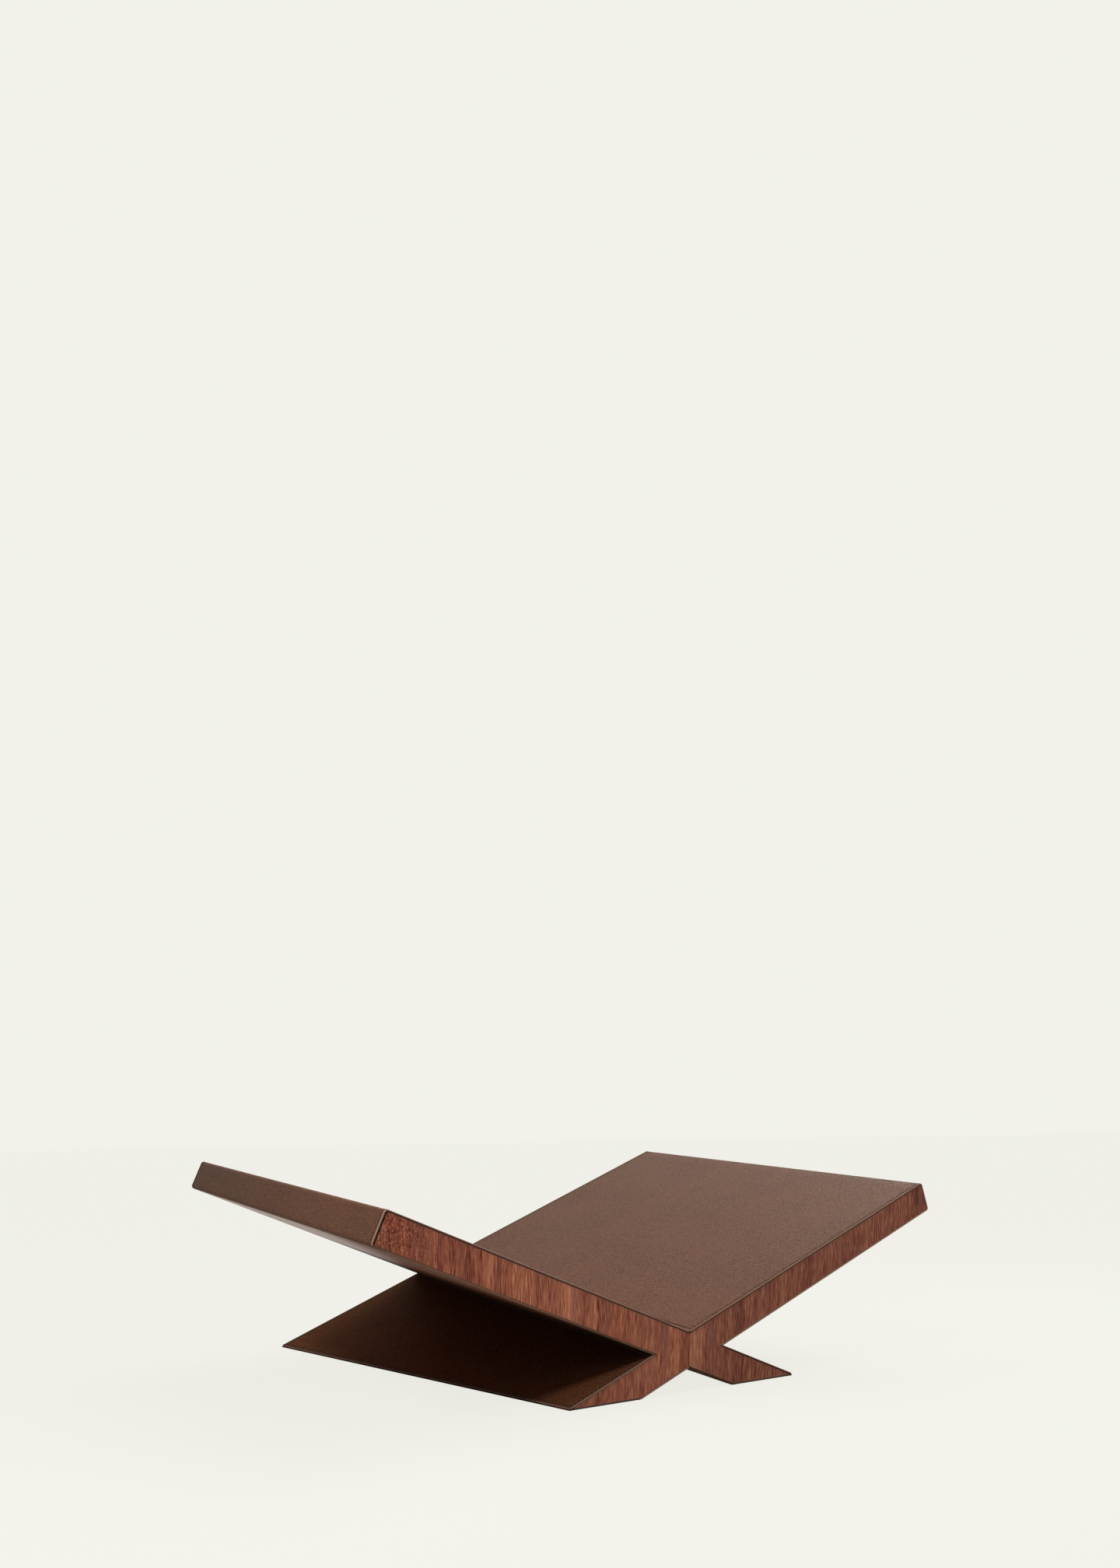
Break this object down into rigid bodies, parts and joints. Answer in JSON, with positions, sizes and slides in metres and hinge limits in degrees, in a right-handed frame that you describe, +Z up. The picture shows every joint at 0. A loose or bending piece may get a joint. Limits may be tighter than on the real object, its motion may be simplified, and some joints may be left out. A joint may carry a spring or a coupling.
{
  "type": "book stand",
  "caption": "Rigid X-shaped stand that cradles an open book: sloping leather panels over short splayed legs, with wood end facings.",
  "frame": {"origin": "on the table under the middle of the stand's box", "axes": "+X to the right across both panels, +Y to the back along the valley, +Z up"},
  "size_m": [0.4058, 0.3141, 0.1377],
  "materials": {
    "core": "raw board, hidden",
    "dowel": "raw beech, hidden",
    "facing": "satin reddish-brown, upright grain",
    "leather": "fine grain, matt brown",
    "sole": "dark suede",
    "thread": "waxed thread"
  },
  "bodies": {
    "root": {"through_board": "core", "left_panel_board": "core", "right_leg_board": "core", "dowels": "dowel", "front_left_facing": "facing", "front_right_facing": "facing", "back_left_facing": "facing", "back_right_facing": "facing", "left_panel_leather": "leather", "right_panel_leather": "leather", "left_leg_leather": "leather", "right_leg_leather": "leather", "left_arch_leather": "leather", "right_arch_leather": "leather", "left_sole": "sole", "right_sole": "sole", "left_panel_stitching": "thread", "right_panel_stitching": "thread", "left_leg_stitching": "thread", "right_leg_stitching": "thread", "left_arch_stitching": "thread", "right_arch_stitching": "thread"}
  },
  "joints": []
}
